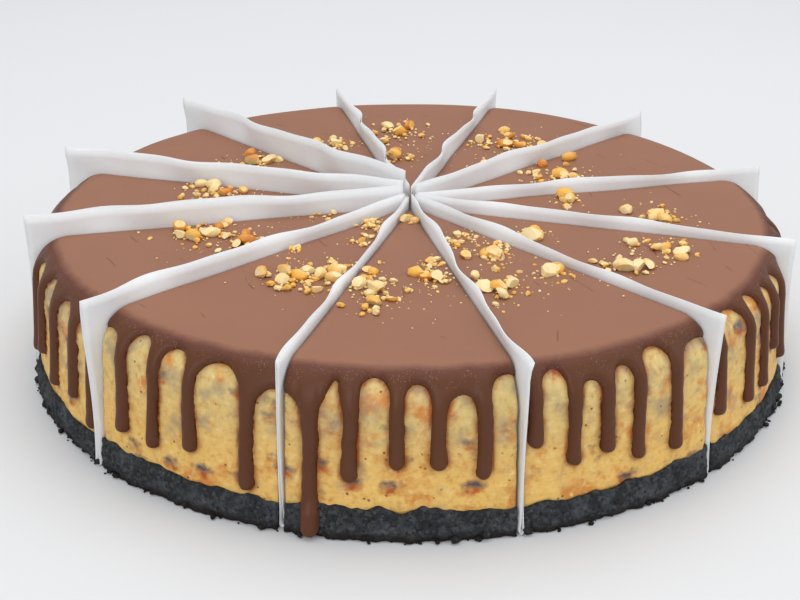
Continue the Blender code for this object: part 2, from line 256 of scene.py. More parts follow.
def make_chocolate():
    material, tree, shader, place = new_material("set_milk_ganache", Roughness=0.5, IOR=1.46)
    shader.inputs["Specular IOR Level"].default_value = 0.25
    flat = add_node(tree, "VectorMath", {0: place}, {1: (1, 1, 0)}, operation="MULTIPLY")
    radius = add_node(tree, "VectorMath", {0: flat.outputs[0]}, operation="LENGTH")
    ragged = add_node(
        tree, "TexNoise", {"Vector": place}, {"Scale": 1 / 6.0, "Detail": 5.0, "Roughness": 0.65}
    )
    sources = {0: ragged.outputs["Fac"], 2: radius.outputs["Value"]}
    line = add_node(tree, "Math", sources, {1: RAGGED}, operation="MULTIPLY_ADD")
    top_line, rim_line, side_line = (edge + RAGGED / 2 for edge in (BLOOM_AND_SHEEN_ENDS, RIM_AT, SIDE_STARTS))
    rim = add_node(
        tree, "MapRange", {"Value": line.outputs[0]}, {"From Min": top_line, "From Max": rim_line}
    )
    side = add_node(
        tree, "MapRange", {"Value": line.outputs[0]}, {"From Min": rim_line, "From Max": side_line}
    )
    cloud = add_node(tree, "TexNoise", {"Vector": place}, {"Scale": 1 / 24.0, "Detail": 5.0})
    # The top's lighter browns: a dusty bloom together with a painted sheen, the light above reflected.
    top = add_node(
        tree, "Mix", {0: cloud.outputs["Fac"]}, {6: linear("#8B604B"), 7: linear("#94674F")}, data_type="RGBA"
    )
    across = add_node(tree, "VectorMath", {0: flat.outputs[0]}, {1: SCRATCH_ACROSS}, operation="DOT_PRODUCT")
    bend = add_node(tree, "TexNoise", {"Vector": flat.outputs[0]}, {"Scale": 1 / 40.0, "Detail": 0.0})
    sources = {0: bend.outputs["Fac"], 2: across.outputs["Value"]}
    lines = add_node(tree, "Math", sources, {1: SCRATCH_BEND}, operation="MULTIPLY_ADD")
    off_line = add_node(tree, "Math", {0: lines.outputs[0]}, {1: 0.5}, operation="PINGPONG")
    fine = add_node(tree, "MapRange", {"Value": off_line.outputs[0]}, {"From Min": 0.018, "From Max": 0.006})
    kept = add_node(tree, "TexNoise", {"Vector": place}, {"Scale": 1 / 10.0, "Detail": 1.0})
    short = add_node(
        tree, "MapRange", {"Value": kept.outputs["Fac"]}, {"From Min": 0.58, "From Max": 0.64, "To Max": 0.65}
    )
    mark = add_node(tree, "Math", {0: fine.outputs[0], 1: short.outputs[0]}, operation="MULTIPLY")
    scratched = add_node(
        tree, "Mix", {0: mark.outputs[0], 6: top.outputs[2]}, {7: linear("#5C392B")}, data_type="RGBA"
    )
    reddish = add_node(
        tree, "Mix", {0: rim.outputs[0], 6: scratched.outputs[2]}, {7: linear("#62392C")}, data_type="RGBA"
    )
    dark = add_node(
        tree, "Mix", {0: cloud.outputs["Fac"]}, {6: linear("#55301C"), 7: linear("#5F3822")}, data_type="RGBA"
    )
    coat = add_node(
        tree, "Mix", {0: side.outputs[0], 6: reddish.outputs[2], 7: dark.outputs[2]}, data_type="RGBA"
    )
    dots = add_node(tree, "TexVoronoi", {"Vector": place}, {"Scale": 1 / SPECK_SPACING})
    dot = add_node(
        tree, "MapRange", {"Value": dots.outputs["Distance"]}, {"From Min": 0.32, "From Max": 0.22}
    )
    after = add_node(
        tree, "MapRange", {"Value": line.outputs[0]}, {"From Min": SPECKS_START, "From Max": SPECKS_FULL}
    )
    before = add_node(
        tree, "MapRange", {"Value": line.outputs[0]}, {"From Min": SPECKS_END, "From Max": SPECKS_FADE}
    )
    band = add_node(tree, "Math", {0: after.outputs[0], 1: before.outputs[0]}, operation="MULTIPLY")
    some = add_node(tree, "TexNoise", {"Vector": place}, {"Scale": 1 / 3.0, "Detail": 2.0})
    few = add_node(
        tree, "MapRange", {"Value": some.outputs["Fac"]}, {"From Min": 0.40, "From Max": 0.62, "To Max": 0.5}
    )
    here = add_node(tree, "Math", {0: band.outputs[0], 1: few.outputs[0]}, operation="MULTIPLY")
    speck = add_node(tree, "Math", {0: dot.outputs[0], 1: here.outputs[0]}, operation="MULTIPLY")
    speckled = add_node(
        tree, "Mix", {0: speck.outputs[0], 6: coat.outputs[2]}, {7: linear("#997868")}, data_type="RGBA"
    )
    tree.links.new(speckled.outputs[2], shader.inputs["Base Color"])
    sheen = add_node(tree, "MapRange", {"Value": side.outputs[0]}, {"To Min": 0.60, "To Max": 0.42})
    tree.links.new(sheen.outputs[0], shader.inputs["Roughness"])
    skin = add_node(tree, "TexNoise", {"Vector": place}, {"Scale": 1 / 1.6, "Detail": 5.0})
    relief = add_node(
        tree, "Bump", {"Height": skin.outputs["Fac"]}, {"Distance": 0.08 * MM, "Strength": 0.5}
    )
    tree.links.new(relief.outputs[0], shader.inputs["Normal"])
    return material


chocolate = make_chocolate()
print("made", chocolate.name, "with", len(chocolate.node_tree.nodes), "nodes")

# %% [markdown]
# ## Where the coat ran
# Poured chocolate runs off the rim in fingers. Each finger ends in a round tip, and between two
# fingers the edge rises in an arch. In the flat, x is mm along the side and y is mm down from where
# the shoulder starts, so a finger is a strip with a round end and an arch is half an ellipse. The
# fingers at the front are where the photograph shows them, and those behind follow a seeded rule.

# %% The drips, as angle, height of the tip, and height of the arch after it
FRONT_DRIPS = (
    (-163.0, 10.0, 41.0),
    (-156.0, 15.5, 41.5),
    (-149.0, 12.0, 40.5),
    (-142.0, 14.5, 40.0),
    (-136.9, 9.6, 41.5),
    (-130.0, 14.0, 43.0),
    (-124.0, 13.5, 42.6),
    (-118.0, 16.5, 42.2),
    (-109.6, 9.7, 39.2),
    (-101.2, 0.4, 42.8),
    (-96.2, 16.0, 43.0),
    (-90.4, 20.0, 42.0),
    (-85.2, 19.8, 39.7),
    (-79.6, 17.0, 43.2),
    (-73.2, 24.0, 43.0),
    (-67.9, 17.3, 39.7),
    (-63.1, 18.5, 41.0),
    (-58.2, 14.5, 42.9),
    (-51.9, 13.0, 41.5),
    (-42.7, 16.5, 43.2),
    (-34.8, 13.5, 43.2),
    (-29.5, 13.5, 42.0),
    (-24.8, 21.0, 42.0),
    (-19.0, 13.0, 41.0),
)
HIDDEN_DRIPS = 34
HIDDEN_SHIFT = 0.18
HIDDEN_TIPS = (10.0, 23.0)
HIDDEN_ARCHES = (39.5, 43.0)
DRIP_SEED = 5


def ring_of_drips():
    """Every drip in turn round the cake."""
    draw = random.Random(DRIP_SEED)
    drips = list(FRONT_DRIPS)
    start = FRONT_DRIPS[-1][0]
    room = 360 + FRONT_DRIPS[0][0] - start
    for i in range(1, HIDDEN_DRIPS + 1):
        angle = start + room * (i + draw.uniform(-HIDDEN_SHIFT, HIDDEN_SHIFT)) / (HIDDEN_DRIPS + 1)
        drips.append((angle, draw.uniform(*HIDDEN_TIPS), draw.uniform(*HIDDEN_ARCHES)))
    return drips


print("drips round the cake:", len(ring_of_drips()))

# %% [markdown]
# The coat is unrolled like a label off a jar: one function turns a height into mm down the curved
# shoulder and the side, and another lists the drips near a portion by their x along that label.
# Soft chocolate closed on the papers, so its cuts are narrower than those of the layers below.

# %% Unroll the side
DRIP_HALF_WIDTH = 2.1
LONG_DRIP_SHARE = 1.1
ARCH_LIFT = 2.4
DRIP_REACH = 1.7
COAT_HALF_KERF = 0.65
COAT_SHOULDER = COAT_TOP - SHOULDER_HEIGHT
SHOULDER_LENGTH = math.pi / 2 * COAT_SHOULDER
COAT_HALF_LENGTH = COAT_RADIUS * (HALF_ANGLE - math.asin(COAT_HALF_KERF / COAT_RADIUS))


def down_the_coat(height):
    """How far down the coat a height is, in mm from where the shoulder starts."""
    if height >= SHOULDER_HEIGHT:
        return COAT_SHOULDER * math.acos((height - SHOULDER_HEIGHT) / COAT_SHOULDER)
    return SHOULDER_LENGTH + SHOULDER_HEIGHT - height


def arch_top(arch):
    """An arch is seen where it meets the filling, so the coat's own edge reaches a little farther up."""
    share = (arch - SHOULDER_HEIGHT) / COAT_SHOULDER
    return down_the_coat(arch) - ARCH_LIFT * share**2


def half_width(tip):
    """A drip that runs to the foot carries more chocolate."""
    return DRIP_HALF_WIDTH * (LONG_DRIP_SHARE if tip < BASE_HEIGHT / 2 else 1.0)


def near_drips(centre):
    """The drips on a portion and a few to each side, as (x in mm, tip, arch after it)."""
    found = []
    for angle, tip, arch in ring_of_drips():
        off = (angle - centre + 180) % 360 - 180
        if abs(off) < math.degrees(HALF_ANGLE) * DRIP_REACH:
            found.append((COAT_RADIUS * math.radians(off), tip, arch))
    return sorted(found)


print("the unrolled side is", round(SHOULDER_LENGTH + SHOULDER_HEIGHT, 1), "mm deep")

# %% [markdown]
# A drip is almost as wide at its tip as below its arch. The arch beside the drip that reached the
# foot is pointed, because that thick run narrows slowly. The edge is drawn as a line of short steps,
# and the distance from that line is what gives the chocolate its thickness.

# %% Draw the lower edge
ARC_STEPS = 14
SIDE_STEPS = 9
BEAD = 0.06
BEAD_LENGTH = 2.6
WAIST = 0.05
ARCH_ROUNDNESS = 0.8
TALLEST_ARCH = 7.0
POINTED_RISE = 12.0
POINT_AT = 0.78
POINT_CURVE = 0.8


def drip_side(x, width, top, tip_y, side):
    """Points up one side of a drip, from its round tip to its arch, or down the other."""
    points = []
    for i in range(SIDE_STEPS + 1):
        step = i / SIDE_STEPS
        y = top + (tip_y - width - top) * step
        swell = 1 + BEAD * math.exp(-(((tip_y - width - y) / BEAD_LENGTH) ** 2))
        swell -= WAIST * math.sin(math.pi * step)
        points.append((x + side * width * swell, y))
    return points if side < 0 else points[::-1]


def arch_points(left, right, top, rise, pointed):
    """Points over an arch from left to right, not counting its two feet."""
    points = []
    for i in range(1, ARC_STEPS):
        turn = math.pi * i / ARC_STEPS
        share = (1 - math.cos(turn)) / 2
        lift = math.sin(turn)
        if pointed:
            lift = (share / POINT_AT if share < POINT_AT else (1 - share) / (1 - POINT_AT)) ** POINT_CURVE
        points.append((left + (right - left) * share, top + rise * (1 - lift)))
    return points


def lower_edge(drips):
    """The coat's lower edge from left to right: round tips, and an arch between each two."""
    arches = []
    for (x, tip, arch), (following, next_tip, _) in zip(drips, drips[1:]):
        left, right = x + half_width(tip), following - half_width(next_tip)
        pointed = tip < BASE_HEIGHT / 2
        rise = POINTED_RISE if pointed else min(ARCH_ROUNDNESS * (right - left), TALLEST_ARCH)
        arches.append((left, right, arch_top(arch), rise, pointed))
    points = []
    for i, (x, tip, _) in enumerate(drips):
        width, tip_y = half_width(tip), down_the_coat(tip)
        if i > 0:
            points += drip_side(x, width, arches[i - 1][2] + arches[i - 1][3], tip_y, -1)
        for step in range(ARC_STEPS + 1):
            turn = math.pi * step / ARC_STEPS
            points.append((x - width * (1 + BEAD) * math.cos(turn), tip_y - width * (1 - math.sin(turn))))
        if i < len(arches):
            points += drip_side(x, width, arches[i][2] + arches[i][3], tip_y, 1)
            points += arch_points(*arches[i])
    return points


print("edge of the front portion:", len(lower_edge(near_drips(-90))), "points")

# %% Measure how far inside the edge a point lies
def depth_inside(x, y, edge):
    """Signed distance from the edge in mm, positive on the chocolate's side."""
    ends = np.array([(edge[0][0], -200.0), *edge, (edge[-1][0], -200.0)])
    nearest = np.full(len(x), 1e9)
    inside = np.zeros(len(x), dtype=bool)
    for (ax, ay), (bx, by) in zip(ends, np.roll(ends, -1, axis=0)):
        dx, dy = bx - ax, by - ay
        along = np.clip(((x - ax) * dx + (y - ay) * dy) / max(dx * dx + dy * dy, 1e-12), 0, 1)
        nearest = np.minimum(nearest, np.hypot(x - ax - along * dx, y - ay - along * dy))
        if ay != by:
            inside ^= ((ay > y) != (by > y)) & (x < dx * (y - ay) / dy + ax)
    return np.where(inside, nearest, -nearest)


middle = depth_inside(np.array([0.0]), np.array([0.0]), lower_edge(near_drips(-90)))
print("the shoulder's start lies", round(float(middle[0]), 1), "mm inside the edge")

# %% [markdown]
# ## The coat
# The coat is a solid block with a sculpted outside, less the cake inside it. The block's surface
# follows the filling and rises by the chocolate's thickness, with a steep round edge, and it dips
# under the filling where the side is bare. Taking the inside away with one Boolean leaves slab, rim
# and fingers as one closed piece.

# %% Rows of the coat's section
TOP_ROWS = 26
SHOULDER_ROWS = 34
SIDE_ROW = 0.5
COAT_COLUMNS = 124
EDGE_ROUND = 0.45
EDGE_TUCK = 0.08
EDGE_SWAY = 0.35
SWAY_LENGTH = 17
SWAY_SEED = 3
DRIP_BULGE = 0.85
CUT_ROUND = 0.75
CUT_ROUND_LENGTH = 0.7
FLARE_START = 11.0
FLARE_DEPTH = 4.0
FLARE_CLEARANCE = 0.35

top_rows = [(TIP_RADIUS - SHOULDER_RADIUS) * (1 - i / TOP_ROWS) for i in range(TOP_ROWS)]
shoulder_rows = [SHOULDER_LENGTH * i / SHOULDER_ROWS for i in range(SHOULDER_ROWS)]
side_rows = [SHOULDER_LENGTH + i * SIDE_ROW for i in range(int((SHOULDER_HEIGHT + 0.2) / SIDE_ROW) + 1)]
coat_rows = np.array([*top_rows, *shoulder_rows, *side_rows])
under_rows = [(112.0, -1.0), (60.0, -1.0), (TIP_RADIUS, -1.0)]
print("coat rows:", len(coat_rows), "columns:", COAT_COLUMNS)


# %% Sculpt the coat's outside
def shell_point(y, radius_of_shell, top_of_shell):
    """Radius and height of a smooth shell at a distance y down from the shoulder's start."""
    turn = np.pi / 2 * np.clip(1 - y / SHOULDER_LENGTH, 0, 1)
    radius = SHOULDER_RADIUS + (radius_of_shell - SHOULDER_RADIUS) * np.cos(turn)
    height = SHOULDER_HEIGHT + (top_of_shell - SHOULDER_HEIGHT) * np.sin(turn)
    below = np.maximum(y - SHOULDER_LENGTH, 0)
    flare = np.clip((below - (SHOULDER_HEIGHT - FLARE_START)) / FLARE_DEPTH, 0, 1)
    flare = flare * flare * (3 - 2 * flare) * (BASE_RADIUS - FILLING_FOOT_RADIUS - FLARE_CLEARANCE)
    radius = radius + SIDE_SLOPE * below + flare + np.minimum(y, 0)
    return radius, height - below, np.cos(turn), np.sin(turn)


def drip_ridge(x, y, drips):
    """How far a drip's round back stands out here, from 0 to 1 and a little more at the tip."""
    ridge = np.zeros(len(x))
    for at, tip, arch in drips:
        off = np.clip(1 - ((x - at) / (half_width(tip) * 1.05)) ** 2, 0, 1)
        ramp = np.clip((y - down_the_coat(arch)) / 8, 0, 1)
        bead = 1 + 0.25 * np.exp(-(((down_the_coat(tip) - 2.4 - y) / 2.2) ** 2))
        ridge = np.maximum(ridge, np.sqrt(off) * ramp * bead)
    return ridge


def shape_coat(centre):
    """A function that places the coat block's grid for this portion."""
    drips = near_drips(centre)
    edge = lower_edge(drips)
    rows = len(coat_rows)

    def shape(share, row):
        y = coat_rows[np.minimum(row, rows - 1)]
        x = share * COAT_HALF_LENGTH
        radius, height, _, _ = shell_point(y, COAT_RADIUS, COAT_TOP)
        place = roll_up(share, np.maximum(radius, TIP_RADIUS), height, centre, COAT_HALF_KERF)
        x_here = x + EDGE_SWAY * waves(place, SWAY_LENGTH, SWAY_SEED) + 0.10 * waves(place, 4, 6)
        depth = depth_inside(x_here, y + 0.3 * waves(place, 12, 4), edge) - EDGE_TUCK
        bare = np.maximum(depth / EDGE_ROUND, -1.6)
        cover = np.where(depth > 0, 1 - np.exp(-depth / EDGE_ROUND), bare)
        inner_radius, inner_height, out, up = shell_point(y, FILLING_RADIUS, FILLING_TOP)
        radius = inner_radius + (radius - inner_radius) * cover
        height = inner_height + (height - inner_height) * cover
        to_cut = np.maximum(radius, TIP_RADIUS) * (1 - np.abs(share)) * HALF_ANGLE
        swell = DRIP_BULGE * drip_ridge(x_here, y, drips) * np.clip(cover, 0, 1)
        rounding = CUT_ROUND * np.exp(-to_cut / CUT_ROUND_LENGTH)
        swell += (0.14 * waves(place, 30, 8) - rounding) * (cover > 0)
        radius, height = radius + swell * out, height + swell * up
        for i, (under_radius, under_height) in enumerate(under_rows):
            radius = np.where(row == rows + i, under_radius, radius)
            height = np.where(row == rows + i, under_height, height)
        return roll_up(share, np.maximum(radius, TIP_RADIUS), height, centre, COAT_HALF_KERF)

    return shape


print("the chocolate is", round(COAT_TOP - FILLING_TOP, 1), "mm thick on top")

# %% [markdown]
# The inside is the filling and the base, 0.3 mm small, so that chocolate and filling touch. It is a
# little wider than the wedge, because a Boolean works best where faces cross and don't coincide.

# %% Take the inside away
UNDER = 0.3
INSIDE_START = 2.5
INSIDE_FOOT = -3.0


def inside_block(centre):
    """What the coat lies on, as a block in mm."""
    loop = [
        (INSIDE_START, INSIDE_FOOT),
        (BASE_RADIUS + 0.1, INSIDE_FOOT),
        (BASE_RADIUS + 0.1, 1.0),
        (BASE_TOP_RADIUS, BASE_HEIGHT + 0.3),
        (FILLING_FOOT_RADIUS - UNDER, BASE_HEIGHT + 0.5),
    ]
    for step in range(17):
        turn = math.pi / 2 * step / 16
        loop.append((
            SHOULDER_RADIUS + (FILLING_RADIUS - UNDER - SHOULDER_RADIUS) * math.cos(turn),
            SHOULDER_HEIGHT + (FILLING_TOP - UNDER - SHOULDER_HEIGHT) * math.sin(turn),
        ))
    loop.append((INSIDE_START, FILLING_TOP - UNDER))

    def shape(share, row):
        points = np.array(loop)[row]
        angle = math.radians(centre) + share * (HALF_ANGLE + 1.2 / np.maximum(points[:, 0], 3))
        return np.stack([points[:, 0] * np.cos(angle), points[:, 0] * np.sin(angle), points[:, 1]], axis=1)

    return grid_block(len(loop), 40, shape)


def cut_away(piece, cutter_bm):
    """Subtracts a block from a piece and applies the result."""
    bmesh.ops.scale(cutter_bm, vec=(MM, MM, MM), verts=cutter_bm.verts)
    cutter_mesh = bpy.data.meshes.new("inside")
    cutter_bm.to_mesh(cutter_mesh)
    cutter_bm.free()
    cutter = bpy.data.objects.new("inside", cutter_mesh)
    bpy.context.scene.collection.objects.link(cutter)
    taking = piece.modifiers.new("inside", "BOOLEAN")
    taking.operation = "DIFFERENCE"
    taking.solver = "MANIFOLD"
    taking.object = cutter
    graph = bpy.context.evaluated_depsgraph_get()
    result = bpy.data.meshes.new_from_object(piece.evaluated_get(graph))
    piece.modifiers.clear()
    piece.data = result
    result.shade_smooth()
    bpy.data.objects.remove(cutter)


for index in range(PORTIONS):
    centre = index * 30
    block = grid_block(len(coat_rows) + len(under_rows), COAT_COLUMNS, shape_coat(centre))
    coat = finish_piece(f"poured_coat_{index:02d}", block, chocolate)
    cut_away(coat, inside_block(centre))
    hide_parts(f"coat_{index:02d}")
print("a coat has", len(coat.data.polygons), "faces")

# %% [markdown]
# ## The filling's finish
# A baked cheese filling is pale where it stayed moist, near the top, and more orange where it met
# the hot ring lower down, with deeper orange patches. It is also painted greyer and darker towards
# the top, in cloudy patches.
# Melted chips show as grey-purple smudges, lying flat, each with a rusty streak under it. The
# smudges are the hearts of flattened Voronoi cells, and the streak reads the same cells from a
# point a little higher. Burst bubbles left pits, whose dark brown centres are painted shade in the
# holes, and the ring's lining left fine level wrinkles.
# Each colour is laid over those before it through a mask of its own.

# %% Baked filling
SMUDGE_SPACING = 10.0
SMUDGE_FLATNESS = 2.2
SMUDGE_WOBBLE = (6, 6, 6)
SMUDGE_SHARE = 0.38
SMUDGE_HEART = 0.08
STREAK_DROP = 1.7
GREYING_RISE = 0.004


def chip_smudge(tree, place, wobble, reach):
    """A mask of soft flat blobs in some cells: 1 at a blob's heart, 0 from reach outwards."""
    flat = add_node(tree, "VectorMath", {0: place}, {1: (1, 1, SMUDGE_FLATNESS)}, operation="MULTIPLY")
    sources = {0: wobble, 2: flat.outputs[0]}
    moved = add_node(tree, "VectorMath", sources, {1: SMUDGE_WOBBLE}, operation="MULTIPLY_ADD")
    cells = add_node(tree, "TexVoronoi", {"Vector": moved.outputs[0]}, {"Scale": 1 / SMUDGE_SPACING})
    sources = {"Value": cells.outputs["Distance"]}
    heart = add_node(tree, "MapRange", sources, {"From Min": reach, "From Max": SMUDGE_HEART})
    pick = add_node(tree, "SeparateColor", {0: cells.outputs["Color"]})
    some = add_node(tree, "Math", {0: pick.outputs["Red"]}, {1: SMUDGE_SHARE}, operation="LESS_THAN")
    return add_node(tree, "Math", {0: heart.outputs[0], 1: some.outputs[0]}, operation="MULTIPLY").outputs[0]


def make_filling():
    material, tree, shader, place = new_material("baked_cheese", Roughness=0.55, IOR=1.42)
    shader.inputs["Specular IOR Level"].default_value = 0.35
    height = add_node(tree, "SeparateXYZ", {0: place}).outputs["Z"]
    low = add_node(tree, "MapRange", {"Value": height}, {"From Min": 36.0, "From Max": 18.0})
    colour = add_node(
        tree, "Mix", {0: low.outputs[0]}, {6: linear("#D6BC7A"), 7: linear("#E3B866")}, data_type="RGBA"
    )
    field = add_node(
        tree, "TexNoise", {"Vector": place}, {"Scale": 1 / 10.0, "Detail": 5.0, "Roughness": 0.6}
    )
    warm = add_node(
        tree, "MapRange", {"Value": field.outputs["Fac"]}, {"From Min": 0.53, "From Max": 0.65, "To Max": 0.9}
    )
    curd = add_node(tree, "TexNoise", {"Vector": place}, {"Scale": 1 / 1.9, "Detail": 5.0, "Roughness": 0.6})
    mottled = add_node(
        tree, "MapRange", {"Value": curd.outputs["Fac"]}, {"From Min": 0.53, "From Max": 0.74, "To Max": 0.7}
    )
    lighter = add_node(
        tree, "MapRange", {"Value": curd.outputs["Fac"]}, {"From Min": 0.44, "From Max": 0.28, "To Max": 0.8}
    )
    wobble = add_node(tree, "TexNoise", {"Vector": place}, {"Scale": 1 / 2.4, "Detail": 3.0})
    # Greyer and darker towards the top, in cloudy patches.
    upper_grey_noise = add_node(tree, "TexNoise", {"Vector": place}, {"Scale": 1 / 6.5, "Detail": 3.0})
    sources = {0: height, 2: upper_grey_noise.outputs["Fac"]}
    rising = add_node(tree, "Math", sources, {1: GREYING_RISE}, operation="MULTIPLY_ADD")
    greyer_towards_top = add_node(
        tree, "MapRange", {"Value": rising.outputs[0]}, {"From Min": 0.63, "From Max": 0.80, "To Max": 0.6}
    )
    raised = add_node(tree, "VectorMath", {0: place}, {1: (0, 0, STREAK_DROP)}, operation="ADD")
    streak = chip_smudge(tree, raised.outputs[0], wobble.outputs["Color"], 0.36)
    smudge = chip_smudge(tree, place, wobble.outputs["Color"], 0.38)
    # Pits: the same mask digs each pit in the bump and paints its centre dark brown, as painted shade.
    bubbles = add_node(tree, "TexVoronoi", {"Vector": place}, {"Scale": 1 / 2.9})
    sources = {"Value": bubbles.outputs["Distance"]}
    pit_depth_and_shade = add_node(tree, "MapRange", sources, {"From Min": 0.15, "From Max": 0.07, "To Max": 0.85})
    rare = add_node(tree, "TexNoise", {"Vector": place}, {"Scale": 1 / 5.0, "Detail": 1.0})
    rare = add_node(tree, "MapRange", {"Value": rare.outputs["Fac"]}, {"From Min": 0.48, "From Max": 0.54})
    pit_depth_and_shade = add_node(tree, "Math", {0: pit_depth_and_shade.outputs[0], 1: rare.outputs[0]}, operation="MULTIPLY")
    fringe = add_node(tree, "Attribute", attribute_name="beside_chocolate")
    layers = (
        (warm.outputs[0], "#CD8238"),
        (mottled.outputs[0], "#C07C34"),
        (lighter.outputs[0], "#EBCF8E"),
        (greyer_towards_top.outputs[0], "#8F8070"),
        (streak, "#B0551E"),
        (smudge, "#5B4C50"),
        (pit_depth_and_shade.outputs[0], "#6E4322"),
        (fringe.outputs["Fac"], "#8F4A1E"),
    )
    for mask, tint in layers:
        sources = {0: mask, 6: colour.outputs[2]}
        colour = add_node(tree, "Mix", sources, {7: linear(tint)}, data_type="RGBA")
    tree.links.new(colour.outputs[2], shader.inputs["Base Color"])
    wrinkled = add_node(tree, "VectorMath", {0: place}, {1: (1, 1, 4)}, operation="MULTIPLY")
    fine = {"Scale": 1 / 4.5, "Detail": 5.0, "Roughness": 0.55}
    wrinkle = add_node(tree, "TexNoise", {"Vector": wrinkled.outputs[0]}, fine)
    dug = add_node(tree, "Math", {0: wrinkle.outputs["Fac"], 1: pit_depth_and_shade.outputs[0]}, operation="SUBTRACT")
    relief = add_node(tree, "Bump", {"Height": dug.outputs[0]}, {"Distance": 0.4 * MM, "Strength": 0.7})
    tree.links.new(relief.outputs[0], shader.inputs["Normal"])
    return material


filling_finish = make_filling()
print("made", filling_finish.name, "with", len(filling_finish.node_tree.nodes), "nodes")

# %% [markdown]
# ## The filling's shape
# The filling fills the coat from below, down to the base's uneven top. Its section is a loop: along
# the bottom, up the side in 0.6 mm rows that can carry relief, over the shoulder, and back.

# %% The filling's section
FILLING_COLUMNS = 96
FILLING_SIDE_ROWS = 43
FILLING_ROW = 0.6
FILLING_SHOULDER_STEPS = 13
SIDE_ROWS_START = 9.0
FOOT_TUCK = 1.6
filling_loop = [(r, -1.0) for r in (TIP_RADIUS, 40.0, 80.0, 106.0, 112.0, 115.0, FILLING_FOOT_RADIUS - 0.5)]
BOTTOM_ROWS = len(filling_loop)
for i in range(FILLING_SIDE_ROWS):
    side_height = SIDE_ROWS_START + FILLING_ROW * i
    filling_loop.append((FILLING_RADIUS + SIDE_SLOPE * (SHOULDER_HEIGHT - side_height), side_height))
for i in range(FILLING_SHOULDER_STEPS + 1):
    turn = math.pi / 2 * i / FILLING_SHOULDER_STEPS
    filling_loop.append((
        SHOULDER_RADIUS + (FILLING_RADIUS - SHOULDER_RADIUS) * math.cos(turn),
        SHOULDER_HEIGHT + (FILLING_TOP - SHOULDER_HEIGHT) * math.sin(turn),
    ))
filling_loop += [(r, FILLING_TOP) for r in (90.0, 50.0, TIP_RADIUS)]
filling_radius, filling_height = np.array(filling_loop).T
print("filling rows:", len(filling_loop))


# %% Shape the filling
def base_top(share, radius, centre):
    """The height of the base's uneven top."""
    angle = np.radians(centre) + share * HALF_ANGLE
    wave = (np.sin(11 * angle) + np.sin(29 * angle + 1.0) + 0.6 * np.sin(53 * angle)) / 2.6
    return BASE_HEIGHT + BASE_UNEVENNESS * wave * radius / BASE_TOP_RADIUS


def shape_filling(centre):
    def shape(share, row):
        radius, height = filling_radius[row], filling_height[row]
        bottom = base_top(share, radius, centre) + 0.12
        lift = np.clip((height - SIDE_ROWS_START) / 6, 0, 1)
        follow = (bottom - SIDE_ROWS_START + 0.3) * (1 - lift) * (height < 15)
        tucked = bottom - FOOT_TUCK * np.clip((radius - 114.0) / 1.5, 0, 1)
        height = np.where(row < BOTTOM_ROWS, tucked, height + follow)
        place = roll_up(share, radius, height, centre)
        on_side = (row >= BOTTOM_ROWS) & (radius > 105)
        relief = 0.16 * waves(place, 9, 21) + 0.10 * waves(place * (1, 1, 3), 5, 22)
        relief += 0.20 * grains(place, 2.4) + 0.12 * grains(place * (1, 1, 2.5) + 30, 1.3)
        edge = np.exp(-(radius * (1 - np.abs(share)) * HALF_ANGLE) / 0.6)
        radius = radius + np.where(on_side, relief - 0.35 * edge, 0)
        return roll_up(share, radius, height, centre)

    return shape


print("base top at the rim:", np.round(base_top(np.array([-1, 0, 1]), BASE_TOP_RADIUS, -90), 2), "mm")

# %% [markdown]
# Where chocolate ends, its fat browned a thin fringe of the filling. The distance from the coat's
# edge is already known as a function, so each vertex stores it and the shader reads it back.

# %% Mark the fringe and make the fillings
def mark_beside_chocolate(mesh, centre):
    """Stores how near each point of the side is to the coat's edge."""
    co = np.empty(len(mesh.vertices) * 3)
    mesh.vertices.foreach_get("co", co)
    co = co.reshape(-1, 3) / MM
    angle = (np.arctan2(co[:, 1], co[:, 0]) - math.radians(centre) + math.pi) % math.tau - math.pi
    turn = np.arccos(np.clip((co[:, 2] - SHOULDER_HEIGHT) / (FILLING_TOP - SHOULDER_HEIGHT), 0, 1))
    on_shoulder = co[:, 2] > SHOULDER_HEIGHT
    y = np.where(on_shoulder, COAT_SHOULDER * turn, SHOULDER_LENGTH + SHOULDER_HEIGHT - co[:, 2])
    x = angle * COAT_RADIUS + EDGE_SWAY * waves(co, SWAY_LENGTH, SWAY_SEED)
    depth = depth_inside(x, y, lower_edge(near_drips(centre)))
    patch = np.clip(0.55 + 0.7 * waves(co, 7, 31), 0, 1)
    near = np.exp(np.minimum(depth + 0.25, 0) / 0.55) * (0.35 + 0.65 * patch)
    layer = mesh.attributes.new("beside_chocolate", "FLOAT", "POINT")
    layer.data.foreach_set("value", (near * (np.hypot(co[:, 0], co[:, 1]) > 104)).astype(np.float32))


for index in range(PORTIONS):
    centre = index * 30
    block = grid_block(len(filling_loop), FILLING_COLUMNS, shape_filling(centre))
    piece = finish_piece(f"baked_filling_{index:02d}", block, filling_finish)
    mark_beside_chocolate(piece.data, centre)
    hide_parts(f"filling_{index:02d}")
print("a filling has", len(piece.data.polygons), "faces")

# %% [markdown]
# ## The biscuit base's finish
# Dark cocoa biscuits, ground and pressed with butter, bake into a dense blue-black layer with paler,
# bluish patches where butter reached the surface. The foot is brown-black, where loose crumbs cling.

